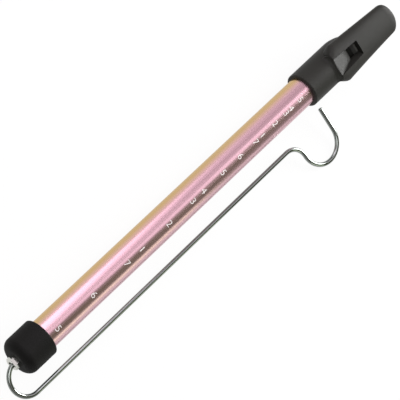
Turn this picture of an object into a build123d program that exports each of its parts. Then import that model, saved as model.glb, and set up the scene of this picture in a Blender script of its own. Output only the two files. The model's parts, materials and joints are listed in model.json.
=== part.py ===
"""Slide whistle with a moulded fipple head, an anodised tube and a bent-wire slide handle.

The whistle lies on a table as it would be put down: the tube's axis is the X axis, with the
mouthpiece towards +X, and the finger hook rests on the table on the -Y side. The origin is on
the tube's axis, at the middle of the tube's bare length. Sizes are in millimetres.
"""
import os
from math import asin, copysign, cos, degrees, pi, radians, sin, sqrt, tan

from build123d import *

# Clearances
SEAT_GAP = 0.02            # glued or pressed seats, on the radius
RUNNING_GAP = 0.06         # wire in its guide and in the plunger, on the radius
SEAL_GAP = 0.05            # seal rings in the tube's bore, on the radius
LOOSE_GAP = 0.3            # faces that stop near each other without touching
CUT_OVERRUN = 1.0          # how far a cut runs past the face that it opens

# Tube
TUBE_OUTER = 20.0
TUBE_WALL = 0.8
TUBE_BARE = 246.5          # length that shows between the cap and the mouthpiece head
TUBE_IN_CAP = 17.0
TUBE_IN_HEAD = 24.0

# End cap
CAP_WALL = 2.9
CAP_FLOOR = 5.3
CAP_RIM_ROUND = 1.0
CAP_END_ROUND = 5.7

# Wire guide in the end cap, with its washer, nut and felt bumper
HEX_FLATS = 7.8
HEX_LENGTH = 3.7
HEX_TURN = -11.0           # how the hexagon stands after tightening, in degrees
FLARE_RADIUS = 2.25        # mouth of the guide, flared for the wire's return bend
GUIDE_OUTER = 5.0
GUIDE_PROUD = 0.4          # end of the guide's sleeve beyond its nut
GUIDE_NUT_FLATS = 8.0
GUIDE_NUT_HEIGHT = 2.7
GUIDE_WASHER_OUTER = 10.0
GUIDE_WASHER_HEIGHT = 1.0
BUMPER_HOLE = 11.0
BUMPER_PROUD = 1.5         # felt that stands beyond the guide's sleeve
BUMPER_ROUND = 0.6

# Slide wire and its finger hook
WIRE = 3.0
HANDLE_OFFSET = 23.9       # from the tube's axis to the straight arm, centre to centre
RETURN_FLAT = 0.3          # straight between the two bends just outside the end cap
RETURN_LEAD = 3.5          # how far inside the guide's flare the first bend starts, slide in
ARM_BEND = 10.8            # where the arm turns away from the tube
HOOK_BEND = 14.5           # the half circle for the finger
HOOK_LEG = 17.2            # straight leg that points back at the tube
HOOK_LEAD = 4.7            # how far the leg stands past the head's rim, slide in
WIRE_END_ROUND = 0.6

# Plunger, with the washers and nuts that hold it on the wire
PLUNGER_LENGTH = 14.0
PLUNGER_SETBACK = 6.0      # from the head's rim back to the plunger's front, slide in
FLANGE_GAP = 0.3           # plunger's flanges in the tube's bore, on the radius
SEAL_WIDTH = 2.6
SEAL_DEPTH = 1.9
SEAL_ROUND = 0.7
SEAL_MARGIN = 1.6          # flange outside each seal
ROD_NUT_FLATS = 5.5
ROD_NUT_HEIGHT = 2.4
ROD_WASHER_OUTER = 7.0
ROD_WASHER_HEIGHT = 0.5
WELL_WIDTH = 8.6           # recess for washer and nut in each end of the plunger
WELL_MARGIN = 0.4          # how far the nuts lie below the plunger's ends
SPIN_GAP = 0.1             # end play of the plunger between its washers

# Mouthpiece head: stations from its rim, heights from the tube's axis
HEAD_LENGTH = 85.7
HEAD_WALL = 2.4
HEAD_RIM_ROUND = 1.0
HEAD_TURN = 15.0           # lean of the window towards the handle, in degrees
SCOOP_START = 36.5         # where the round underside starts to rise
SCOOP_END = 57.0           # where it has gone inside the beak
SCOOP_SHRINK = 7.5
SCOOP_STEPS = 5

# Beak: an oval that tapers from the ridge in front of the window to the tip
OVAL_POWER = 2.2           # squareness of the oval; 2 is an ellipse
OVAL_POINTS = 24
RIDGE_START = 24.5
RIDGE_HALF_WIDTH = 14.6    # where the taper would start without its drawn-in shoulders
RIDGE_TOP = 14.2
RIDGE_MIDDLE = 7.8         # height where the oval is widest
RIDGE_BELLY = 1.0
RIDGE_ROUND = 0.4
RIDGE_STEPS = 3
COVE_RADIUS = 3.6          # hollow between the skirt and the ridge
SHOULDER_LENGTH = 6.8      # where the beak's sides draw in towards the ridge
SHOULDER_DRAW = 4.25       # how far they draw in
SHOULDER_SQUARE = 0.8      # how much squarer the oval is at the ridge
SHOULDER_STEPS = 4
TIP_HALF_WIDTH = 10.85
TIP_TOP = 12.3
TIP_MIDDLE = 8.8
TIP_BELLY = 1.0
TIP_CURVE = 5.9            # length of the rounded tip
TIP_DRAW = 7.0             # how far its sides draw in
TIP_LIP_ROUND = 0.7
TIP_CHIN_ROUND = 3.0
TIP_STEPS = 4

# Voicing: window, ramp, lip, windway, chamber and fipple block
WINDOW_END = 48.2          # wall where the windway opens into the window
WINDOW_HALF_WIDTH = 5.57
WINDOW_LEAN = 22.5         # how far the window's side walls lean in, in degrees
RAMP_HALF_WIDTH = 6.4      # at the ridge
RAMP_DROP = 0.5            # start of the ramp below the ridge's top
RAMP_SLOPE = 18.6          # in degrees
LIP_HEIGHT = 8.4           # flat roof of the chamber; where the ramp meets it is the lip
LIP_HALF_WIDTH = 3.8
CHAMBER_RADIUS = 8.0
CHAMBER_SLANT = 16.0       # length of the chamber's slanted end wall
WINDWAY_FLOOR = 7.6
WINDWAY_HEIGHT = 1.5
WINDWAY_WIDTH = 6.4
FIPPLE_WIDTH = 11.0
FIPPLE_LENGTH = 14.0
FIPPLE_HEIGHT = 5.2
FIPPLE_BEVEL = 0.4

# Stations and radii that follow from the sizes above
TUBE_RADIUS = TUBE_OUTER / 2
BORE_RADIUS = TUBE_RADIUS - TUBE_WALL
SOCKET_RADIUS = TUBE_RADIUS + SEAT_GAP
WIRE_RADIUS = WIRE / 2
CAP_RADIUS = TUBE_RADIUS + CAP_WALL
HEAD_RADIUS = TUBE_RADIUS + HEAD_WALL
HEAD_RIM = TUBE_BARE / 2
CAP_RIM = -HEAD_RIM
CAP_SHOULDER = CAP_RIM - TUBE_IN_CAP
CAP_END = CAP_SHOULDER - CAP_FLOOR
HEX_END = CAP_END - HEX_LENGTH
GUIDE_WASHER_TOP = CAP_SHOULDER + GUIDE_WASHER_HEIGHT
GUIDE_NUT_TOP = GUIDE_WASHER_TOP + GUIDE_NUT_HEIGHT
GUIDE_INNER_END = GUIDE_NUT_TOP + GUIDE_PROUD
BUMPER_FACE = GUIDE_INNER_END + BUMPER_PROUD
RETURN_BEND = (HANDLE_OFFSET - RETURN_FLAT) / 2
BEND_START = HEX_END + RETURN_LEAD
ARM_END = HEAD_RIM + HOOK_LEAD - 2 * HOOK_BEND - ARM_BEND
PLUNGER_FRONT = HEAD_RIM - PLUNGER_SETBACK
PLUNGER_REAR = PLUNGER_FRONT - PLUNGER_LENGTH
FLANGE_RADIUS = BORE_RADIUS - FLANGE_GAP
GROOVE_RADIUS = FLANGE_RADIUS - SEAL_DEPTH
WELL_DEPTH = WELL_MARGIN + ROD_NUT_HEIGHT + ROD_WASHER_HEIGHT + SPIN_GAP
SLIDE_TRAVEL = PLUNGER_REAR - BUMPER_FACE - LOOSE_GAP
HOOK_REACH = HANDLE_OFFSET + ARM_BEND + HOOK_BEND
HANDLE_DROP = degrees(asin((CAP_RADIUS - WIRE_RADIUS) / HOOK_REACH))
FIPPLE_FOOT = WINDWAY_FLOOR - FIPPLE_HEIGHT
TIP_START = HEAD_LENGTH - TIP_CURVE


def disc(start, end, radius):
    """Round bar about the X axis between two stations."""
    return extrude(Plane.YZ.offset(start) * Circle(radius), end - start)


def ring(start, end, outer, inner):
    """Tube about the X axis between two stations, with its outer and inner radius."""
    return disc(start, end, outer) - disc(start, end, inner)


def turned(outline):
    """Solid of revolution about the X axis from the (station, radius) corners of its section."""
    return revolve(make_face(Polyline(*outline, close=True)), Axis.X)


def rims(part, station, radius):
    """Round edges of a turned part at one station and one radius."""
    rounds = part.edges().filter_by(GeomType.CIRCLE)
    return rounds.filter_by(
        lambda edge: abs(edge.arc_center.X - station) < 1e-4 and abs(edge.radius - radius) < 1e-4
    )


def hexagon(start, end, flats):
    """Hexagonal head or nut about the X axis, its corners turned down at both ends."""
    corner = flats / sqrt(3)
    bevel = corner - flats / 2
    prism = extrude(Plane.YZ.offset(start) * RegularPolygon(corner, 6), end - start)
    blank = turned([
        (start, 0),
        (start, corner - bevel),
        (start + bevel / 2, corner),
        (end - bevel / 2, corner),
        (end, corner - bevel),
        (end, 0),
    ])
    return prism & blank


def side_prism(outline, half_width):
    """Prism across the head from the (station, height) corners of its side view."""
    face = Plane.XZ * make_face(Polyline(*outline, close=True))
    return extrude(face, half_width, both=True)


def across(start, end, half_width, low, high):
    """Box in the head's frame, centred across it."""
    return side_prism([(start, low), (end, low), (end, high), (start, high)], half_width)


def make_tube():
    """Anodised tube, seated in the cap at one end and in the head at the other."""
    return ring(CAP_SHOULDER, HEAD_RIM + TUBE_IN_HEAD, TUBE_RADIUS, BORE_RADIUS)


def make_end_cap():
    """Moulded cap that closes the tube and carries the wire guide."""
    hole = GUIDE_OUTER / 2 + SEAT_GAP
    cap = turned([
        (CAP_RIM, SOCKET_RADIUS),
        (CAP_RIM, CAP_RADIUS),
        (CAP_END, CAP_RADIUS),
        (CAP_END, hole),
        (CAP_SHOULDER, hole),
        (CAP_SHOULDER, SOCKET_RADIUS),
    ])
    cap = fillet(rims(cap, CAP_RIM, CAP_RADIUS), CAP_RIM_ROUND)
    return fillet(rims(cap, CAP_END, CAP_RADIUS), CAP_END_ROUND)


def make_wire_guide():
    """Plated guide: hexagonal head with a flared mouth outside the cap, sleeve through its floor."""
    hole = WIRE_RADIUS + RUNNING_GAP
    guide = Rot(HEX_TURN, 0, 0) * hexagon(HEX_END, CAP_END, HEX_FLATS)
    guide += disc(CAP_END, GUIDE_INNER_END, GUIDE_OUTER / 2)
    guide -= disc(HEX_END, GUIDE_INNER_END, hole)
    return guide - turned([(HEX_END, 0), (HEX_END, FLARE_RADIUS), (CAP_END, hole), (CAP_END, 0)])


def make_guide_washer():
    """Washer that spreads the nut's load on the cap's floor."""
    return ring(CAP_SHOULDER, GUIDE_WASHER_TOP, GUIDE_WASHER_OUTER / 2, GUIDE_OUTER / 2 + SEAT_GAP)


def make_guide_nut():
    """Nut that clamps the wire guide in the cap."""
    nut = hexagon(GUIDE_WASHER_TOP, GUIDE_NUT_TOP, GUIDE_NUT_FLATS)
    return nut - disc(GUIDE_WASHER_TOP, GUIDE_NUT_TOP, GUIDE_OUTER / 2 + SEAT_GAP)


def make_bumper():
    """Felt ring round the nut that stops the plunger softly when the slide is drawn right out."""
    outer = BORE_RADIUS - LOOSE_GAP
    bumper = ring(CAP_SHOULDER, BUMPER_FACE, outer, BUMPER_HOLE / 2)
    return fillet(rims(bumper, BUMPER_FACE, outer), BUMPER_ROUND)


def seal_stations():
    """Rear station of the rear and front seal rings."""
    return PLUNGER_REAR + SEAL_MARGIN, PLUNGER_FRONT - SEAL_MARGIN - SEAL_WIDTH


def make_plunger_core():
    """Moulded spool that turns on the wire: two seal grooves, and a well for a nut at each end."""
    core = ring(PLUNGER_REAR, PLUNGER_FRONT, FLANGE_RADIUS, WIRE_RADIUS + RUNNING_GAP)
    for start in seal_stations():
        core -= ring(start, start + SEAL_WIDTH, BORE_RADIUS, GROOVE_RADIUS)
    core -= disc(PLUNGER_REAR, PLUNGER_REAR + WELL_DEPTH, WELL_WIDTH / 2)
    return core - disc(PLUNGER_FRONT - WELL_DEPTH, PLUNGER_FRONT, WELL_WIDTH / 2)


def make_seal(start):
    """Rubber seal ring in one of the plunger's grooves."""
    outer = BORE_RADIUS - SEAL_GAP
    seal = ring(start, start + SEAL_WIDTH, outer, GROOVE_RADIUS + SEAT_GAP)
    return fillet(rims(seal, start, outer) + rims(seal, start + SEAL_WIDTH, outer), SEAL_ROUND)


def make_rod_washer(well_floor, outward):
    """Washer in one of the plunger's wells, clear of the well's floor by the end play."""
    near = well_floor + outward * SPIN_GAP
    far = near + outward * ROD_WASHER_HEIGHT
    return ring(min(near, far), max(near, far), ROD_WASHER_OUTER / 2, WIRE_RADIUS + SEAT_GAP)


def make_rod_nut(well_floor, outward):
    """Nut on the wire, against the washer in one of the plunger's wells."""
    near = well_floor + outward * (SPIN_GAP + ROD_WASHER_HEIGHT)
    far = near + outward * ROD_NUT_HEIGHT
    nut = hexagon(min(near, far), max(near, far), ROD_NUT_FLATS)
    return nut - disc(min(near, far), max(near, far), WIRE_RADIUS + SEAT_GAP)


def wire_centre_line():
    """Centre line of the slide wire in its own plane, bend by bend from the plunger outwards."""
    edges = [Line((PLUNGER_FRONT, 0), (BEND_START, 0))]

    def straight(length):
        edges.append(Line(edges[-1] @ 1, edges[-1] @ 1 + (edges[-1] % 1) * length))

    def bend(radius, turn):
        edges.append(JernArc(edges[-1] @ 1, edges[-1] % 1, radius, turn))

    bend(RETURN_BEND, -90)
    straight(RETURN_FLAT)
    bend(RETURN_BEND, -90)
    straight(ARM_END - BEND_START)
    bend(ARM_BEND, 90)
    bend(HOOK_BEND, -180)
    straight(HOOK_LEG)
    return Wire(edges)


def make_slide_wire():
    """One steel wire: plunger rod, return bend, straight arm and finger hook."""
    line = wire_centre_line()
    wire = sweep(Plane.YZ.offset(PLUNGER_FRONT) * Circle(WIRE_RADIUS), line)
    straight_bar = pi * WIRE_RADIUS ** 2 * line.length
    print(f"slide wire: {wire.volume:.1f} mm3, section times length {straight_bar:.1f} mm3")
    hook_end = wire.edges().filter_by(GeomType.CIRCLE).sort_by_distance(line @ 1)[0]
    wire = fillet(hook_end, WIRE_END_ROUND)
    return Rot(180 + HANDLE_DROP, 0, 0) * wire


def oval(station, half_width, top, middle, belly, power=OVAL_POWER):
    """Squared oval across the head, widest at its middle height."""
    points = []
    for step in range(OVAL_POINTS):
        turn = 2 * pi * step / OVAL_POINTS
        aside = copysign(abs(cos(turn)) ** (2 / power), cos(turn))
        rise = copysign(abs(sin(turn)) ** (2 / power), sin(turn))
        reach = top - middle if rise > 0 else middle - belly
        points.append((half_width * aside, middle + reach * rise))
    return Plane.YZ.offset(station) * make_face(Spline(*points, periodic=True))


def beak_section(station, inset=0):
    """Section of the beak between its ridge and its tip, made smaller by an inset."""
    share = (station - RIDGE_START) / (TIP_START - RIDGE_START)
    drawn_in = max(0, 1 - (station - RIDGE_START) / SHOULDER_LENGTH) ** 1.5

    def between(ridge, tip):
        return ridge + (tip - ridge) * share

    return oval(
        station,
        between(RIDGE_HALF_WIDTH, TIP_HALF_WIDTH) - SHOULDER_DRAW * drawn_in - inset,
        between(RIDGE_TOP, TIP_TOP) - inset,
        between(RIDGE_MIDDLE, TIP_MIDDLE),
        between(RIDGE_BELLY, TIP_BELLY) + inset,
        OVAL_POWER + SHOULDER_SQUARE * drawn_in,
    )


def ridge_section(angle):
    """Section in the ridge's rounded edge: smallest at 0 degrees, full size at 90."""
    station = RIDGE_START + RIDGE_ROUND * (1 - cos(radians(angle)))
    return beak_section(station, RIDGE_ROUND * (1 - sin(radians(angle))))


def shoulder_section(share):
    """Section part of the way from the ridge's rounded edge (0) to the full width of the beak (1)."""
    start = RIDGE_START + RIDGE_ROUND
    return beak_section(start + (RIDGE_START + SHOULDER_LENGTH - start) * share)


def tip_section(angle):
    """Section in the rounded tip: full size at 0 degrees, drawn in to the flat end at 90."""
    drawn_in = 1 - cos(radians(angle))
    return oval(
        TIP_START + TIP_CURVE * sin(radians(angle)),
        TIP_HALF_WIDTH - TIP_DRAW * drawn_in,
        TIP_TOP - TIP_LIP_ROUND * drawn_in,
        TIP_MIDDLE,
        TIP_BELLY + TIP_CHIN_ROUND * drawn_in,
    )


def scoop_section(share):
    """Round section of the underside, which shrinks upwards until the beak hides it."""
    shrink = SCOOP_SHRINK * share ** 2
    station = SCOOP_START + (SCOOP_END - SCOOP_START) * share
    return Plane.YZ.offset(station) * Pos(0, shrink) * Circle(HEAD_RADIUS - shrink)


def cove():
    """Hollow that rises from the round skirt to the ridge, kept inside the ridge's outline."""
    start = RIDGE_START - COVE_RADIUS
    crest = HEAD_RADIUS + COVE_RADIUS
    foot = HEAD_RADIUS - CUT_OVERRUN
    hollow = revolve(make_face([
        CenterArc((start, crest), COVE_RADIUS, -90, 90),
        Line((RIDGE_START, crest), (RIDGE_START, foot)),
        Line((RIDGE_START, foot), (start, foot)),
        Line((start, foot), (start, HEAD_RADIUS)),
    ]), Axis.X)
    outline = Pos(-COVE_RADIUS, 0, 0) * beak_section(RIDGE_START, RIDGE_ROUND)
    return hollow & extrude(outline, COVE_RADIUS)


def head_outside():
    """Outer form of the head: round skirt with a scooped underside, cove, ridge, beak and tip."""
    skirt = disc(0, SCOOP_START, HEAD_RADIUS)
    skirt = fillet(rims(skirt, 0, HEAD_RADIUS), HEAD_RIM_ROUND)
    scoop = loft([scoop_section(step / SCOOP_STEPS) for step in range(SCOOP_STEPS + 1)])
    ridge = loft([ridge_section(90 * step / RIDGE_STEPS) for step in range(RIDGE_STEPS + 1)])
    shoulder = loft([shoulder_section(step / SHOULDER_STEPS) for step in range(SHOULDER_STEPS + 1)])
    beak = loft([shoulder_section(1), tip_section(0)], ruled=True)
    tip = loft([tip_section(90 * step / TIP_STEPS) for step in range(TIP_STEPS + 1)])
    return skirt + scoop + cove() + ridge + shoulder + beak + tip


def chamber():
    """Sounding chamber: round like the tube's bore, flat under the lip, slanted at its end."""
    side = side_prism([
        (TUBE_IN_HEAD, -CHAMBER_RADIUS),
        (WINDOW_END - CHAMBER_SLANT, -CHAMBER_RADIUS),
        (WINDOW_END, FIPPLE_FOOT),
        (WINDOW_END, CHAMBER_RADIUS),
        (TUBE_IN_HEAD, CHAMBER_RADIUS),
    ], CHAMBER_RADIUS)
    room = side & disc(TUBE_IN_HEAD, WINDOW_END, CHAMBER_RADIUS)
    return room + across(TUBE_IN_HEAD, WINDOW_END, LIP_HALF_WIDTH, WINDWAY_FLOOR / 2, LIP_HEIGHT)


def window_cut():
    """Room above the ramp, cut down into the chamber, with side walls that lean in."""
    above = RIDGE_TOP + CUT_OVERRUN
    start_height = RIDGE_TOP - RAMP_DROP
    end_height = start_height - (WINDOW_END - RIDGE_START) * tan(radians(RAMP_SLOPE))

    def plan(height):
        lean = (height - start_height) * tan(radians(WINDOW_LEAN))
        return Pos(0, 0, height) * make_face(Polyline(
            (RIDGE_START, RAMP_HALF_WIDTH + lean),
            (WINDOW_END, WINDOW_HALF_WIDTH + lean),
            (WINDOW_END, -WINDOW_HALF_WIDTH - lean),
            (RIDGE_START, -RAMP_HALF_WIDTH - lean),
            close=True,
        ))

    side = side_prism([
        (RIDGE_START, start_height),
        (WINDOW_END, end_height),
        (WINDOW_END, above),
        (RIDGE_START, above),
    ], HEAD_RADIUS)
    return side & loft([plan(end_height), plan(above)], ruled=True)


def place_head(part):
    """Set a piece of the head on the tube, with the window leaning towards the handle."""
    return Pos(HEAD_RIM, 0, 0) * Rot(HEAD_TURN, 0, 0) * part


def make_head():
    """Moulded mouthpiece head with its socket, chamber, window, ramp and windway."""
    head = head_outside()
    head -= disc(-CUT_OVERRUN, TUBE_IN_HEAD, SOCKET_RADIUS)
    head -= chamber()
    head -= window_cut()
    windway_end = HEAD_LENGTH + CUT_OVERRUN
    windway_roof = WINDWAY_FLOOR + WINDWAY_HEIGHT
    head -= across(WINDOW_END, windway_end, WINDWAY_WIDTH / 2, WINDWAY_FLOOR, windway_roof)
    pocket_end = WINDOW_END + FIPPLE_LENGTH
    head -= across(WINDOW_END, pocket_end, FIPPLE_WIDTH / 2 + SEAT_GAP, FIPPLE_FOOT, WINDWAY_FLOOR)
    return place_head(head)


def make_fipple_block():
    """Block that forms the windway's floor behind the window, its front edge bevelled."""
    end = WINDOW_END + FIPPLE_LENGTH
    block = across(WINDOW_END, end, FIPPLE_WIDTH / 2, FIPPLE_FOOT, WINDWAY_FLOOR)
    front_edge = block.edges().filter_by(Axis.Y).group_by(Axis.X)[0].sort_by(Axis.Z)[-1]
    return place_head(chamfer(front_edge, FIPPLE_BEVEL))


def main():
    rear_seal, front_seal = seal_stations()
    rear_floor = PLUNGER_REAR + WELL_DEPTH
    front_floor = PLUNGER_FRONT - WELL_DEPTH
    nodes = {
        "barrel_tube": make_tube(),
        "mouthpiece_head": make_head(),
        "fipple_block": make_fipple_block(),
        "end_cap": make_end_cap(),
        "wire_guide": make_wire_guide(),
        "guide_washer": make_guide_washer(),
        "guide_nut": make_guide_nut(),
        "cap_bumper": make_bumper(),
        "plunger_core": make_plunger_core(),
        "front_seal": make_seal(front_seal),
        "rear_seal": make_seal(rear_seal),
        "slide_wire": make_slide_wire(),
        "front_washer": make_rod_washer(front_floor, 1),
        "front_nut": make_rod_nut(front_floor, 1),
        "rear_washer": make_rod_washer(rear_floor, -1),
        "rear_nut": make_rod_nut(rear_floor, -1),
    }
    os.makedirs("parts", exist_ok=True)
    for name, part in nodes.items():
        export_step(part, f"parts/{name}.step")
    print(f"slide travel {SLIDE_TRAVEL:.2f} mm, handle {HANDLE_DROP:.3f} degrees below level")


main()
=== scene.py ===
# %% [markdown]
# # A slide whistle in the studio
# The whistle was designed in CAD: a rose tube, a black mouthpiece head, a black end cap, and a plunger on
# a bent wire. This lesson loads it as a fixed frame and gives it what CAD leaves out: real finishes, the
# printed note numbers, light and a camera. Nothing in CAD is moved, so every piece stays where it was
# drawn.

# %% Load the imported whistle
import json
import math

import bmesh
import bpy
from mathutils import Matrix, Quaternion, Vector


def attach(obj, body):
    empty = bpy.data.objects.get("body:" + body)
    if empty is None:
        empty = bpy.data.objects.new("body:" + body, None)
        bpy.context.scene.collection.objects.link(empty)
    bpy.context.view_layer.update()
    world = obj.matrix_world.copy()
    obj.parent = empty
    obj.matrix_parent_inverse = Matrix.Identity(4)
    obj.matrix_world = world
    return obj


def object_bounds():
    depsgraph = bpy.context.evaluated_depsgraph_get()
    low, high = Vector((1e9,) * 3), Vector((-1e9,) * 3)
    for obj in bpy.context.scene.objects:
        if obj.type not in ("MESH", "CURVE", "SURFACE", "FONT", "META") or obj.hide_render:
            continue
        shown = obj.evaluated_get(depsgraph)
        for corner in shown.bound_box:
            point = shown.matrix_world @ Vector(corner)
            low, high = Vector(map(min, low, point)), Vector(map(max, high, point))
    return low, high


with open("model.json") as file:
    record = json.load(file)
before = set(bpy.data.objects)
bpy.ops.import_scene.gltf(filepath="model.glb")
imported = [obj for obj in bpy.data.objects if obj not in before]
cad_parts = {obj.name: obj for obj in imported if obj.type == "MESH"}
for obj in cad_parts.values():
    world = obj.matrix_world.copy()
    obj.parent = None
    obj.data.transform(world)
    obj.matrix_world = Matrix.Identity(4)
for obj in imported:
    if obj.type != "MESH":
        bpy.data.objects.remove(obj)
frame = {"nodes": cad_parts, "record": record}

MM = 0.001
nodes = frame["nodes"]
cad_low, cad_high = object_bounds()
print("nodes:", ", ".join(sorted(nodes)))
print("CAD box in mm:", [round(side / MM, 1) for side in cad_high - cad_low])

# %% [markdown]
# ## The camera
# A long lens far away keeps the tube's two sides nearly parallel, as they are in the photograph. A camera
# can be turned by hand until it fits, but here its place, its aim and its roll are plain numbers, so that
# anyone can read them. A focal length in pixels becomes millimetres of lens by the share of the sensor
# that it covers. The view is Standard, so that a colour renders about as it is written.

# %% Place the camera
PHOTO_SIDE_PIXELS = 400
FOCAL_PIXELS = 1950
SENSOR_MM = 36
CAMERA_PLACE = Vector((-523.54, 144.92, 1088.02)) * MM
CAMERA_AIM = Vector((15.76, -5.92, -0.07)) * MM
CAMERA_ROLL = math.radians(64.007)

scene = bpy.context.scene
lens = bpy.data.cameras.new("portrait_camera")
lens.sensor_width = SENSOR_MM
lens.lens = FOCAL_PIXELS / PHOTO_SIDE_PIXELS * SENSOR_MM
camera = bpy.data.objects.new("portrait_camera", lens)
scene.collection.objects.link(camera)
camera.location = CAMERA_PLACE
camera.rotation_mode = "QUATERNION"
level_look = (CAMERA_AIM - CAMERA_PLACE).to_track_quat("-Z", "Y")
camera.rotation_quaternion = level_look @ Quaternion((0, 0, 1), CAMERA_ROLL)
scene.camera = camera
scene.view_settings.view_transform = "Standard"
print("lens:", lens.lens, "mm, from", round((CAMERA_AIM - CAMERA_PLACE).length, 3), "m away")

# %% [markdown]
# ## Helpers for every finish
# Colours are written as the hex codes that a colour picker shows. Those are sRGB, and a shader works in
# linear light, so one function turns one into the other. A second function fills a node's inputs, each
# with a constant or with a link, and a third adds a node with its settings and fills it, so a material
# reads like a recipe from top to bottom.

# %% Colour and node helpers
# A Mix node has sockets for several kinds of value; these are the ones that it uses for colours.
MIX_SHARE = 0
MIX_FIRST = 6
MIX_SECOND = 7
MIX_RESULT = 2


def linear(hex_code):
    """An sRGB colour such as C8A080 as linear red, green, blue and alpha."""
    shares = [int(hex_code[at:at + 2], 16) / 255 for at in (0, 2, 4)]
    return [s / 12.92 if s <= 0.04045 else ((s + 0.055) / 1.055) ** 2.4 for s in shares] + [1.0]


def fill(tree, node, inputs):
    """Fill a node's inputs: each gets a constant, or a link from the socket that is given."""
    for name, value in inputs.items():
        if isinstance(value, bpy.types.NodeSocket):
            tree.links.new(value, node.inputs[name])
        else:
            node.inputs[name].default_value = value


def add(tree, kind, inputs=None, **settings):
    """One node with its settings, its inputs filled."""
    made = tree.nodes.new(kind)
    for name, value in settings.items():
        setattr(made, name, value)
    fill(tree, made, inputs or {})
    return made


print("mid grey 808080 is", round(linear("808080")[0], 3), "in linear light")

# %% [markdown]
# ## Sizes of patterns
# A texture's scale counts repeats in a metre, because the frame is in metres. A maker thinks in
# millimetres between two scratches or two grains, so a small function turns one into the other. The same
# cell opens an empty material with the shader that nearly every finish uses.

# %% Pattern scale and an empty finish
# A noise lies mostly between these two values, so a range of gloss or shade is spread over them.
NOISE_LOW = 0.3
NOISE_HIGH = 0.7


def repeats(size_mm):
    """Texture scale for a pattern that repeats about every size_mm."""
    return 1 / (size_mm * MM)


def new_finish(name):
    """An empty material: its node tree, and the shader that the recipe fills in."""
    material = bpy.data.materials.new(name)
    material.use_nodes = True
    tree = material.node_tree
    shader = tree.nodes["Principled BSDF"]
    return material, tree, shader


print("a 2 mm pattern repeats", round(repeats(2)), "times in a metre")

# %% [markdown]
# ## Anodised aluminium, drawn and dyed
# The tube is drawn aluminium, anodised and dyed rose. Drawing leaves fine lines along the tube, and the
# clear oxide skin keeps a soft gloss, so lamps show as long bands with fuzzy sides. Towards the far side a
# champagne tone is painted over the rose: a painted reflection of warm surroundings. A noise stretched
# along the tube gives the lines, and a ramp across the tube turns the rose into the painted reflection.

# %% Lines, rose and painted reflection of the tube
TOWARDS_CAMERA = Vector((0, 0.132, 0.991))       # across the tube, from its axis
TOWARDS_HANDLE = Vector((0, -0.991, 0.132))      # across the tube, to the right in the picture
DRAW_LINE_MM = 0.8           # such lines are usually nearer 0.05 mm; coarser so that they show
DRAW_LENGTH_MM = 160
ROSE_DYE = "DDB5BE"
# champagne is a painted reflection of warm surroundings, laid on the tube's far side
CHAMPAGNE_PAINTED_REFLECTION = "D9B67E"
PAINTED_REFLECTION_FROM_MM = 4.2      # from the middle of the tube towards its far side
PAINTED_REFLECTION_FULL_MM = 8.8

rose_tube, tree, shader = new_finish("rose_anodised_drawn_aluminium")
place = add(tree, "ShaderNodeTexCoord").outputs["Object"]
lines_place = add(tree, "ShaderNodeMapping", {
    "Vector": place,
    "Scale": (repeats(DRAW_LENGTH_MM), repeats(DRAW_LINE_MM), repeats(DRAW_LINE_MM))})
lines = add(tree, "ShaderNodeTexNoise", {"Vector": lines_place.outputs[0], "Scale": 1.0, "Detail": 1.0})
# share of painted reflection: it grows round the far side of the tube
far_side = add(tree, "ShaderNodeVectorMath", {0: place, 1: -TOWARDS_HANDLE}, operation="DOT_PRODUCT")
champagne = add(tree, "ShaderNodeMapRange", {
    "Value": far_side.outputs["Value"],
    "From Min": PAINTED_REFLECTION_FROM_MM * MM, "From Max": PAINTED_REFLECTION_FULL_MM * MM},
    interpolation_type="SMOOTHSTEP")
# rose, with the champagne painted reflection mixed in on the far side
dye_and_painted_reflection = add(tree, "ShaderNodeMix", {
    MIX_SHARE: champagne.outputs[0], MIX_FIRST: linear(ROSE_DYE), MIX_SECOND: linear(CHAMPAGNE_PAINTED_REFLECTION)},
    data_type="RGBA")
print("dye turns champagne from", PAINTED_REFLECTION_FROM_MM, "to", PAINTED_REFLECTION_FULL_MM, "mm off the middle")

# %% Skin of the tube
LINE_DARK = 0.975            # shade of the dye in a line and beside it
LINE_LIGHT = 1.025
TUBE_GLOSSY = 0.26           # roughness in a line and beside it
TUBE_DULL = 0.3
DRAW_RELIEF = 0.03
DRAW_DEPTH_MM = 0.02

line_shade = add(tree, "ShaderNodeMapRange", {
    "Value": lines.outputs["Fac"], "From Min": NOISE_LOW, "From Max": NOISE_HIGH,
    "To Min": LINE_DARK, "To Max": LINE_LIGHT})
shaded = add(tree, "ShaderNodeVectorMath", {
    0: dye_and_painted_reflection.outputs[MIX_RESULT], "Scale": line_shade.outputs[0]}, operation="SCALE")
gloss = add(tree, "ShaderNodeMapRange", {
    "Value": lines.outputs["Fac"], "From Min": NOISE_LOW, "From Max": NOISE_HIGH,
    "To Min": TUBE_GLOSSY, "To Max": TUBE_DULL})
relief = add(tree, "ShaderNodeBump", {
    "Height": lines.outputs["Fac"], "Strength": DRAW_RELIEF, "Distance": DRAW_DEPTH_MM * MM})
fill(tree, shader, {
    "Base Color": shaded.outputs[0], "Roughness": gloss.outputs[0], "Normal": relief.outputs[0],
    "Metallic": 1.0})
print("tube finish:", len(tree.nodes), "nodes")

# %% [markdown]
# ## ABS, moulded in two gloss levels
# Head and cap are black ABS from two moulds. The head's mould was polished and then lightly blasted, which
# gives a satin skin: dark, with wide soft highlights. The cap's mould was left rougher, so the cap is
# almost matt. The block in the window is an insert of its own; its paler grey is painted light, which
# brightens the shaded inside of the window. One recipe makes all three, because only colour, gloss and
# grain size differ.

# %% Recipe for moulded ABS
ABS_IOR = 1.54
CLOUD_MM = 14
GRAIN_RELIEF = 0.25
GLOSS_SPREAD = 0.05


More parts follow.
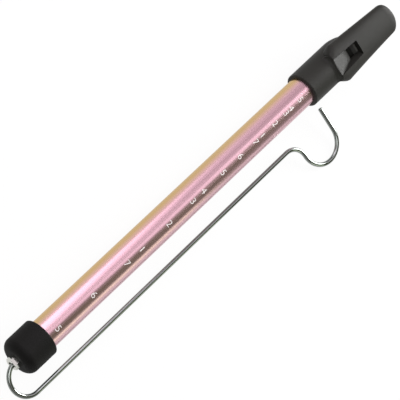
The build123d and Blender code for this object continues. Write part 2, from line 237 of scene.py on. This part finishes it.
def moulded_abs(name, dark, light, grain_mm, relief_mm, roughness, shine):
    """Moulded ABS: a fine grain in the relief, and slow clouds in tone where the melt met the mould."""
    material, tree, shader = new_finish(name)
    place = add(tree, "ShaderNodeTexCoord").outputs["Object"]
    grain = add(tree, "ShaderNodeTexNoise", {
        "Vector": place, "Scale": repeats(grain_mm), "Detail": 2.0})
    clouds = add(tree, "ShaderNodeTexNoise", {
        "Vector": place, "Scale": repeats(CLOUD_MM), "Detail": 2.0})
    tone = add(tree, "ShaderNodeMix", {
        MIX_SHARE: clouds.outputs["Fac"], MIX_FIRST: linear(dark), MIX_SECOND: linear(light)},
        data_type="RGBA")
    gloss = add(tree, "ShaderNodeMapRange", {
        "Value": grain.outputs["Fac"], "From Min": NOISE_LOW, "From Max": NOISE_HIGH,
        "To Min": roughness - GLOSS_SPREAD, "To Max": roughness + GLOSS_SPREAD})
    relief = add(tree, "ShaderNodeBump", {
        "Height": grain.outputs["Fac"], "Strength": GRAIN_RELIEF, "Distance": relief_mm * MM})
    fill(tree, shader, {
        "Base Color": tone.outputs[MIX_RESULT], "Roughness": gloss.outputs[0],
        "Normal": relief.outputs[0], "IOR": ABS_IOR, "Specular IOR Level": shine})
    return material


print("ABS has an IOR of", ABS_IOR)

# %% Satin head, matt cap and an insert with painted light
SATIN_GRAIN_MM = 0.5         # a blasted mould's grain is usually nearer 0.1 mm; coarser so that it shows
MATT_GRAIN_MM = 0.7          # a rough mould's grain is usually finer too; coarser for the same reason

satin_head = moulded_abs(                        # dark, with wide soft highlights
    "satin_moulded_black_abs", "252522", "2D2D2A",
    grain_mm=SATIN_GRAIN_MM, relief_mm=0.02, roughness=0.48, shine=0.15)
matt_cap = moulded_abs(                          # nearly black, with hardly a highlight
    "matt_moulded_black_abs", "111110", "191918",
    grain_mm=MATT_GRAIN_MM, relief_mm=0.04, roughness=0.6, shine=0.1)
# the insert's paler grey is painted light for the shaded inside of the window
insert_painted_light = moulded_abs(                       # a paler patch inside the window
    "satin_abs_with_painted_light", "686864", "747470",
    grain_mm=SATIN_GRAIN_MM, relief_mm=0.02, roughness=0.5, shine=0.12)
print("moulded finishes:", satin_head.name, matt_cap.name, insert_painted_light.name)

# %% [markdown]
# ## Steel under bright nickel
# The guide, the nuts and the washers are turned steel with bright nickel plate. The slide is drawn wire
# with a plate that is written darker, because the photograph shows it so. Plate follows the tool marks
# below it, so rings or lines stay faintly visible in a mirror-like skin. One noise makes both: squeezed
# along the axis it gives rings, and stretched along it, lines.

# %% Recipe for nickel plate
PLATE_RELIEF = 0.05
PLATE_DEPTH_MM = 0.01
PLATE_BRIGHTER = 0.03        # roughness below and above the plate's own
PLATE_DULLER = 0.04


def nickel_plate(name, tone_dark, tone_light, along_mm, across_mm, roughness):
    """Bright plate over tool marks that are along_mm by across_mm apart."""
    material, tree, shader = new_finish(name)
    place = add(tree, "ShaderNodeTexCoord").outputs["Object"]
    marks_place = add(tree, "ShaderNodeMapping", {
        "Vector": place, "Scale": (repeats(along_mm), repeats(across_mm), repeats(across_mm))})
    marks = add(tree, "ShaderNodeTexNoise", {
        "Vector": marks_place.outputs[0], "Scale": 1.0, "Detail": 2.0})
    tone = add(tree, "ShaderNodeMix", {
        MIX_SHARE: marks.outputs["Fac"], MIX_FIRST: linear(tone_dark), MIX_SECOND: linear(tone_light)},
        data_type="RGBA")
    gloss = add(tree, "ShaderNodeMapRange", {
        "Value": marks.outputs["Fac"], "From Min": NOISE_LOW, "From Max": NOISE_HIGH,
        "To Min": roughness - PLATE_BRIGHTER, "To Max": roughness + PLATE_DULLER})
    relief = add(tree, "ShaderNodeBump", {
        "Height": marks.outputs["Fac"], "Strength": PLATE_RELIEF, "Distance": PLATE_DEPTH_MM * MM})
    fill(tree, shader, {
        "Base Color": tone.outputs[MIX_RESULT], "Roughness": gloss.outputs[0],
        "Normal": relief.outputs[0], "Metallic": 1.0})
    return material


print("plate follows marks", PLATE_DEPTH_MM, "mm deep")

# %% Plate on turned steel and on drawn wire
TURNED_RING_MM = 0.25        # feed marks are usually nearer 0.1 mm; coarser so that they show
WIRE_LINE_MM = 0.35          # drawn lines are usually nearer 0.05 mm; coarser for the same reason

turned_plate = nickel_plate(                     # white and mirror-like
    "nickel_plated_turned_steel", "D2D3CC", "E6E7E0",
    along_mm=TURNED_RING_MM, across_mm=3.0, roughness=0.16)
drawn_plate = nickel_plate(                      # darker, with sharp lines of light along the wire
    "nickel_plated_drawn_wire", "8A908C", "9CA29E",
    along_mm=30.0, across_mm=WIRE_LINE_MM, roughness=0.1)
print("plated finishes:", turned_plate.name, "and", drawn_plate.name)

# %% [markdown]
# ## Felt, nylon and rubber inside the tube
# Three kinds of piece work out of sight: a ring of pressed wool felt that stops the plunger quietly, the
# plunger's nylon spool, and two rubber rings that seal it. They show when the whistle is taken apart, so
# they get finishes too. Felt needs fibres and a soft sheen, nylon is pale and smooth, and rubber is dull
# with a fine bloom.

# %% Felt, nylon and rubber
FELT_TUFT_MM = 0.3           # a wool fibre is nearer 0.03 mm and too fine to show, so tufts are drawn
NYLON_FLECK_MM = 0.8         # finer on a moulded skin; coarser so that it shows in a close view
RUBBER_BLOOM_MM = 0.4        # bloom is a fine powder; coarser for the same reason
SPECKLE_RELIEF = 0.5


def speckled(name, dark, light, grain_mm, relief_mm, own_sockets):
    """A non-metal with grain in tone and relief; own_sockets are constants of the shader."""
    material, tree, shader = new_finish(name)
    place = add(tree, "ShaderNodeTexCoord").outputs["Object"]
    grain = add(tree, "ShaderNodeTexNoise", {
        "Vector": place, "Scale": repeats(grain_mm), "Detail": 4.0})
    tone = add(tree, "ShaderNodeMix", {
        MIX_SHARE: grain.outputs["Fac"], MIX_FIRST: linear(dark), MIX_SECOND: linear(light)},
        data_type="RGBA")
    relief = add(tree, "ShaderNodeBump", {
        "Height": grain.outputs["Fac"], "Strength": SPECKLE_RELIEF, "Distance": relief_mm * MM})
    fill(tree, shader, {
        "Base Color": tone.outputs[MIX_RESULT], "Normal": relief.outputs[0], **own_sockets})
    return material


wool_felt = speckled(                            # soft and flat, with a pale edge
    "pressed_wool_felt", "5A1F1E", "8E3A36",
    grain_mm=FELT_TUFT_MM, relief_mm=0.15, own_sockets={"Roughness": 0.95, "Sheen Weight": 0.5})
natural_nylon = speckled(                        # creamy, with a slight gloss
    "moulded_natural_nylon", "D6D1C2", "E2DED2",
    grain_mm=NYLON_FLECK_MM, relief_mm=0.01, own_sockets={"Roughness": 0.38, "IOR": 1.53})
nitrile_rubber = speckled(                       # dull black with a fine bloom
    "moulded_nitrile_rubber", "161617", "242425",
    grain_mm=RUBBER_BLOOM_MM, relief_mm=0.02, own_sockets={"Roughness": 0.55, "IOR": 1.52})
print("inner finishes:", wool_felt.name, natural_nylon.name, nitrile_rubber.name)

# %% [markdown]
# ## Give every node its finish
# The imported record says which material slot each node belongs to, so one table from slot to finish dresses
# them all, apart from the block in the window, which gets the paler finish with painted light. The material
# goes into the object's slot, and the CAD mesh stays as it is.

# %% Dress the CAD nodes
finish_of_slot = {
    "tube_anodised": rose_tube, "head_plastic": satin_head, "cap_plastic": matt_cap,
    "plated_steel": turned_plate, "wire_steel": drawn_plate, "felt": wool_felt,
    "plunger_plastic": natural_nylon, "seal_rubber": nitrile_rubber,
}
for row in frame["record"]["subparts"]:
    for place_in_mesh in nodes[row["node"]].material_slots:
        place_in_mesh.material = finish_of_slot[row["material_slot"]]
# the block in the window gets painted light: a paler grey for its shaded recess
for place_in_mesh in nodes["fipple_block"].material_slots:
    place_in_mesh.material = insert_painted_light

# %% [markdown]
# ## The printed note numbers
# White numbers on the tube say where the plunger makes each step of the scale. They crowd towards the
# mouthpiece, because each semitone shortens the air column by the same share. They are pad-printed: a thin
# layer of ink that lies on the curve. A texture could hold them, but no image is used here, so each number
# is a text object turned into a mesh, cut into narrow strips, and rolled on to the tube. The strips matter,
# because a wide flat face would dip under the round surface.

# %% Where the numbers stand
NOTE_NUMBERS = "567123456712345"
SCALE_SEMITONES = (0, 2, 4, 5, 7, 9, 10, 12, 14, 16, 17, 19, 21, 22, 24)
SEMITONES_IN_OCTAVE = 12
LOWEST_NOTE_MM = -118.1
LOWEST_COLUMN_MM = 307.5                 # length of the air column for the lowest note
CLEAR_OF_CAP_MM = -115.8                 # the lowest number is printed no nearer to the cap


def note_place(semitones):
    """X of a number in mm: each semitone shortens the air column by the twelfth root of two."""
    column_left = 2 ** (-semitones / SEMITONES_IN_OCTAVE)
    return max(CLEAR_OF_CAP_MM, LOWEST_NOTE_MM + LOWEST_COLUMN_MM * (1 - column_left))


print("numbers at X in mm:", [round(note_place(step), 1) for step in SCALE_SEMITONES])

# %% Make one flat number
NOTE_HEIGHT_MM = 4.7
FIGURE_SHARE = 0.7                       # height of a figure as a share of the type's size
STROKE_THINNING_MM = 0.06
CURVE_STEPS = 6
STRIP_MM = 0.3
INK_LOW_MM = 9.97                        # the ink's inner and outer radius; the tube's own is 10
INK_HIGH_MM = 10.02


def flat_number(character):
    """A number as a mesh in mm, on its centre, as thick as the ink, cut into narrow upright strips."""
    text = bpy.data.curves.new("number", "FONT")
    text.body = character
    text.align_x = "CENTER"
    text.align_y = "CENTER"
    text.size = NOTE_HEIGHT_MM / FIGURE_SHARE
    text.offset = -STROKE_THINNING_MM
    text.extrude = (INK_HIGH_MM - INK_LOW_MM) / 2
    text.resolution_u = CURVE_STEPS
    holder = bpy.data.objects.new("number", text)
    mesh = bpy.data.meshes.new_from_object(holder)
    bpy.data.objects.remove(holder)
    bpy.data.curves.remove(text)
    shape = bmesh.new()
    shape.from_mesh(mesh)
    bpy.data.meshes.remove(mesh)
    half_width = max(abs(corner.co.x) for corner in shape.verts)
    for cut in range(1, int(2 * half_width / STRIP_MM) + 1):
        bmesh.ops.bisect_plane(shape, geom=shape.verts[:] + shape.edges[:] + shape.faces[:],
                               plane_co=(cut * STRIP_MM - half_width, 0, 0), plane_no=(1, 0, 0))
    return shape


sample = flat_number("5")
print("a 5 has", len(sample.verts), "corners")
sample.free()

# %% Roll the numbers on to the tube
TUBE_RADIUS_MM = 10
NOTE_TURN = math.radians(20)             # round the tube, from the camera's side towards the handle

print_mesh = bpy.data.meshes.new("note_numbers")
ink = bmesh.new()
for character, step in zip(NOTE_NUMBERS, SCALE_SEMITONES):
    shape = flat_number(character)
    corners = {}
    for corner in shape.verts:
        turn = NOTE_TURN + corner.co.x / TUBE_RADIUS_MM
        radius = (INK_LOW_MM + INK_HIGH_MM) / 2 + corner.co.z
        round_tube = math.cos(turn) * TOWARDS_CAMERA + math.sin(turn) * TOWARDS_HANDLE
        along_tube = Vector((note_place(step) + corner.co.y, 0, 0))
        corners[corner] = ink.verts.new((along_tube + radius * round_tube) * MM)
    for face in shape.faces:
        ink.faces.new([corners[corner] for corner in face.verts])
    shape.free()
ink.to_mesh(print_mesh)
ink.free()
numbers = bpy.data.objects.new("note_numbers", print_mesh)
scene.collection.objects.link(numbers)
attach(numbers, "barrel")
print("note numbers:", len(print_mesh.polygons), "faces on the tube")

# %% [markdown]
# ## Pad-printing ink
# The ink is a white two-part lacquer, dull beside the metal, and a little thin where the pad lifted. A
# noise of about a millimetre lets some grey through.

# %% White ink
INK_WEAR_MM = 1.2
INK_ROUGHNESS = 0.5

white_ink, tree, shader = new_finish("pad_printed_white_ink")
place = add(tree, "ShaderNodeTexCoord").outputs["Object"]
wear = add(tree, "ShaderNodeTexNoise", {"Vector": place, "Scale": repeats(INK_WEAR_MM), "Detail": 3.0})
tone = add(tree, "ShaderNodeMix", {
    MIX_SHARE: wear.outputs["Fac"], MIX_FIRST: linear("DCD7D5"), MIX_SECOND: linear("ECE8E6")},
    data_type="RGBA")
fill(tree, shader, {"Base Color": tone.outputs[MIX_RESULT], "Roughness": INK_ROUGHNESS})
print_mesh.materials.append(white_ink)
print("ink:", white_ink.name)

# %% [markdown]
# ## The floor
# The whistle lies on a white sweep. In a studio such a sheet is lit until it is plain white in the
# picture, and only a breath of shadow stays. A stronger lamp would do that, but it would burn out the
# whistle. Instead the floor's own shader shows white to the camera, and a good part of that white to
# mirrors, mixed with the lit paper, which carries the shadow. The paper bounces less light than it shows,
# so the whistle's lower sides stay dark.

# %% Lay the floor
FLOOR_SIDE_M = 8.0

half = FLOOR_SIDE_M / 2
floor_plan = ((-half, -half), (half, -half), (half, half), (-half, half))
floor_mesh = bpy.data.meshes.new("floor")
floor_mesh.from_pydata([(x, y, cad_low.z) for x, y in floor_plan], [], [(0, 1, 2, 3)])
floor = bpy.data.objects.new("floor", floor_mesh)
scene.collection.objects.link(floor)
print("floor at z =", round(cad_low.z / MM, 2), "mm")

# %% White paper
FLOOR_SHOWN_WHITE = 0.93
FLOOR_MIRRORED_WHITE = 0.7
PAPER_BOUNCED = "B4B4B2"
PAPER_SHOWN = "F4F4F3"

white_sweep = bpy.data.materials.new("white_paper_sweep")
white_sweep.use_nodes = True
tree = white_sweep.node_tree
tree.nodes.clear()
rays = add(tree, "ShaderNodeLightPath")
mirrored = add(tree, "ShaderNodeMath", {
    0: rays.outputs["Is Glossy Ray"], 1: rays.outputs["Is Transmission Ray"]}, operation="MAXIMUM")
mirrored_share = add(tree, "ShaderNodeMath", {
    0: mirrored.outputs[0], 1: FLOOR_MIRRORED_WHITE}, operation="MULTIPLY")
share = add(tree, "ShaderNodeMath", {
    0: rays.outputs["Is Camera Ray"], 1: FLOOR_SHOWN_WHITE, 2: mirrored_share.outputs[0]},
    operation="MULTIPLY_ADD")
tone = add(tree, "ShaderNodeMix", {
    MIX_SHARE: rays.outputs["Is Camera Ray"],
    MIX_FIRST: linear(PAPER_BOUNCED), MIX_SECOND: linear(PAPER_SHOWN)}, data_type="RGBA")
paper = add(tree, "ShaderNodeBsdfDiffuse", {"Color": tone.outputs[MIX_RESULT]})
white = add(tree, "ShaderNodeEmission", {"Color": linear("FFFFFF"), "Strength": 1.0})
mixed = add(tree, "ShaderNodeMixShader", {0: share.outputs[0], 1: paper.outputs[0], 2: white.outputs[0]})
add(tree, "ShaderNodeOutputMaterial", {"Surface": mixed.outputs[0]})
floor_mesh.materials.append(white_sweep)
print("floor finish:", white_sweep.name)

# %% [markdown]
# ## The room
# Metal looks like what stands round it. A room that is white all over makes a tube look like plastic, so
# this one is light grey with a breath of lilac overhead. Low down it is nearly white on the far side and
# a darker grey on the handle's side, and so is the wall at the cap's end, behind the camera. One olive
# corner overhead on the handle's side is darker still, and the tube shows it as its long dark line. The
# world's colour depends only on the direction.

# %% Walls of the room
OVERHEAD = "C9C1C6"
FAR_WALL = "FBF5F0"
HANDLE_WALL = "75776A"
WALL_BEHIND = "868482"
WALL_TOP = (0.08, 0.6)                   # Z of a direction where a wall turns into the ceiling
WALL_TURN = (-0.3, 0.5)                  # Y where the handle's wall turns into the far one
BEHIND_EDGE = (-0.6, 0.0)                # X where the wall behind the camera ends

world = bpy.data.worlds.new("studio_room")
scene.world = world
world.use_nodes = True
tree = world.node_tree
background = tree.nodes["Background"]
direction = add(tree, "ShaderNodeTexCoord").outputs["Generated"]
towards = add(tree, "ShaderNodeSeparateXYZ", {"Vector": direction}).outputs
height = add(tree, "ShaderNodeMapRange", {
    "Value": towards["Z"], "From Min": WALL_TOP[0], "From Max": WALL_TOP[1]},
    interpolation_type="SMOOTHSTEP")
far_share = add(tree, "ShaderNodeMapRange", {
    "Value": towards["Y"], "From Min": WALL_TURN[0], "From Max": WALL_TURN[1]},
    interpolation_type="SMOOTHSTEP")
in_front = add(tree, "ShaderNodeMapRange", {
    "Value": towards["X"], "From Min": BEHIND_EDGE[0], "From Max": BEHIND_EDGE[1]},
    interpolation_type="SMOOTHSTEP")
low_walls = add(tree, "ShaderNodeMix", {
    MIX_SHARE: far_share.outputs[0], MIX_FIRST: linear(HANDLE_WALL), MIX_SECOND: linear(FAR_WALL)},
    data_type="RGBA")
side_walls = add(tree, "ShaderNodeMix", {
    MIX_SHARE: height.outputs[0], MIX_FIRST: low_walls.outputs[MIX_RESULT], MIX_SECOND: linear(OVERHEAD)},
    data_type="RGBA")
walls = add(tree, "ShaderNodeMix", {
    MIX_SHARE: in_front.outputs[0], MIX_FIRST: linear(WALL_BEHIND),
    MIX_SECOND: side_walls.outputs[MIX_RESULT]}, data_type="RGBA")
print("room:", world.name)

# %% Dark corner
CORNER = "565E3A"
CORNER_TOWARDS = (0.38, -0.62, 0.69)
CORNER_EDGE = (0.86, 0.98)               # cosine of the angle off its middle, where it starts and is full

corner_near = add(tree, "ShaderNodeVectorMath", {
    0: direction, 1: CORNER_TOWARDS}, operation="DOT_PRODUCT")
corner_depth = add(tree, "ShaderNodeMapRange", {
    "Value": corner_near.outputs["Value"], "From Min": CORNER_EDGE[0], "From Max": CORNER_EDGE[1]},
    interpolation_type="SMOOTHSTEP")
room = add(tree, "ShaderNodeMix", {
    MIX_SHARE: corner_depth.outputs[0], MIX_FIRST: walls.outputs[MIX_RESULT], MIX_SECOND: linear(CORNER)},
    data_type="RGBA")
fill(tree, background, {"Color": room.outputs[MIX_RESULT], "Strength": 1.0})
print("dark corner towards", CORNER_TOWARDS)

# %% [markdown]
# ## The lamps
# A tall softbox on the far side makes the tube's long bright band; it is turned a little on its stand, so
# the band narrows towards the mouthpiece. A strip overhead adds the second, thinner band. A low strip
# close by on the handle's side edges the tube from the cap to its middle. Two panels beyond the mouthpiece
# light the beak's top and the ramp in the window, a small card whitens the guide's top facet, and a large
# fill near the camera lights what isn't a mirror. A lamp's power is worked out from its area and from how
# bright its face should look, because that is what metal shows.

# %% One softbox
def softbox(name, place_mm, aim_mm, size_mm, brightness, tone, roll=0):
    """A lamp that looks brightness times as bright as white paper, turned by roll degrees."""
    lamp = bpy.data.lights.new(name, "AREA")
    lamp.shape = "RECTANGLE"
    lamp.size, lamp.size_y = (side * MM for side in size_mm)
    lamp.energy = brightness * math.pi * lamp.size * lamp.size_y
    lamp.color = linear(tone)[:3]
    holder = bpy.data.objects.new(name, lamp)
    scene.collection.objects.link(holder)
    holder.location = Vector(place_mm) * MM
    back = (Vector(place_mm) - Vector(aim_mm)).normalized()
    along = (Vector((1, 0, 0)) - back.x * back).normalized()
    holder.rotation_mode = "QUATERNION"
    level = Matrix((along, back.cross(along), back)).transposed().to_quaternion()
    holder.rotation_quaternion = level @ Quaternion((0, 0, 1), math.radians(roll))
    holder.visible_camera = False
    print(name, "gives", round(lamp.energy, 2), "W")


print("a softbox 1 m square that looks as bright as paper gives", round(math.pi, 2), "W")

# %% Lamps along the tube
MIDDLE_MM = (0, 0, 0)                    # places on the tube's axis that lamps aim at
BEYOND_MIDDLE_MM = (50, 0, 0)

softbox("key_softbox", place_mm=(145, 690, 720), aim_mm=MIDDLE_MM, size_mm=(480, 900),
        brightness=1.8, tone="FDF3FF", roll=-14)
softbox("overhead_strip", place_mm=(480, -110, 1000), aim_mm=MIDDLE_MM, size_mm=(640, 350),
        brightness=0.74, tone="FDF4FF")
softbox("side_strip", place_mm=(50, -300, 57), aim_mm=BEYOND_MIDDLE_MM, size_mm=(225, 87),
        brightness=1.5, tone="F6FFE0")

# %% Lamps for the head, the guide and the rest
SKIRT_MM = (130, 0, 0)
WINDOW_MM = (165, 0, 0)
GUIDE_MM = (-150, 0, 0)
PLAIN_WHITE = "FFFFFF"

softbox("main_panel", place_mm=(1200, -240, 600), aim_mm=SKIRT_MM, size_mm=(700, 700),
        brightness=10.0, tone=PLAIN_WHITE)
softbox("ramp_panel", place_mm=(1051, -385, 245), aim_mm=WINDOW_MM, size_mm=(350, 260),
        brightness=13.5, tone=PLAIN_WHITE)
softbox("guide_card", place_mm=(165, 125, 938), aim_mm=GUIDE_MM, size_mm=(110, 110),
        brightness=1.7, tone=PLAIN_WHITE)
softbox("fill_softbox", place_mm=(-500, 100, 1300), aim_mm=MIDDLE_MM, size_mm=(900, 900),
        brightness=2.0, tone=PLAIN_WHITE)
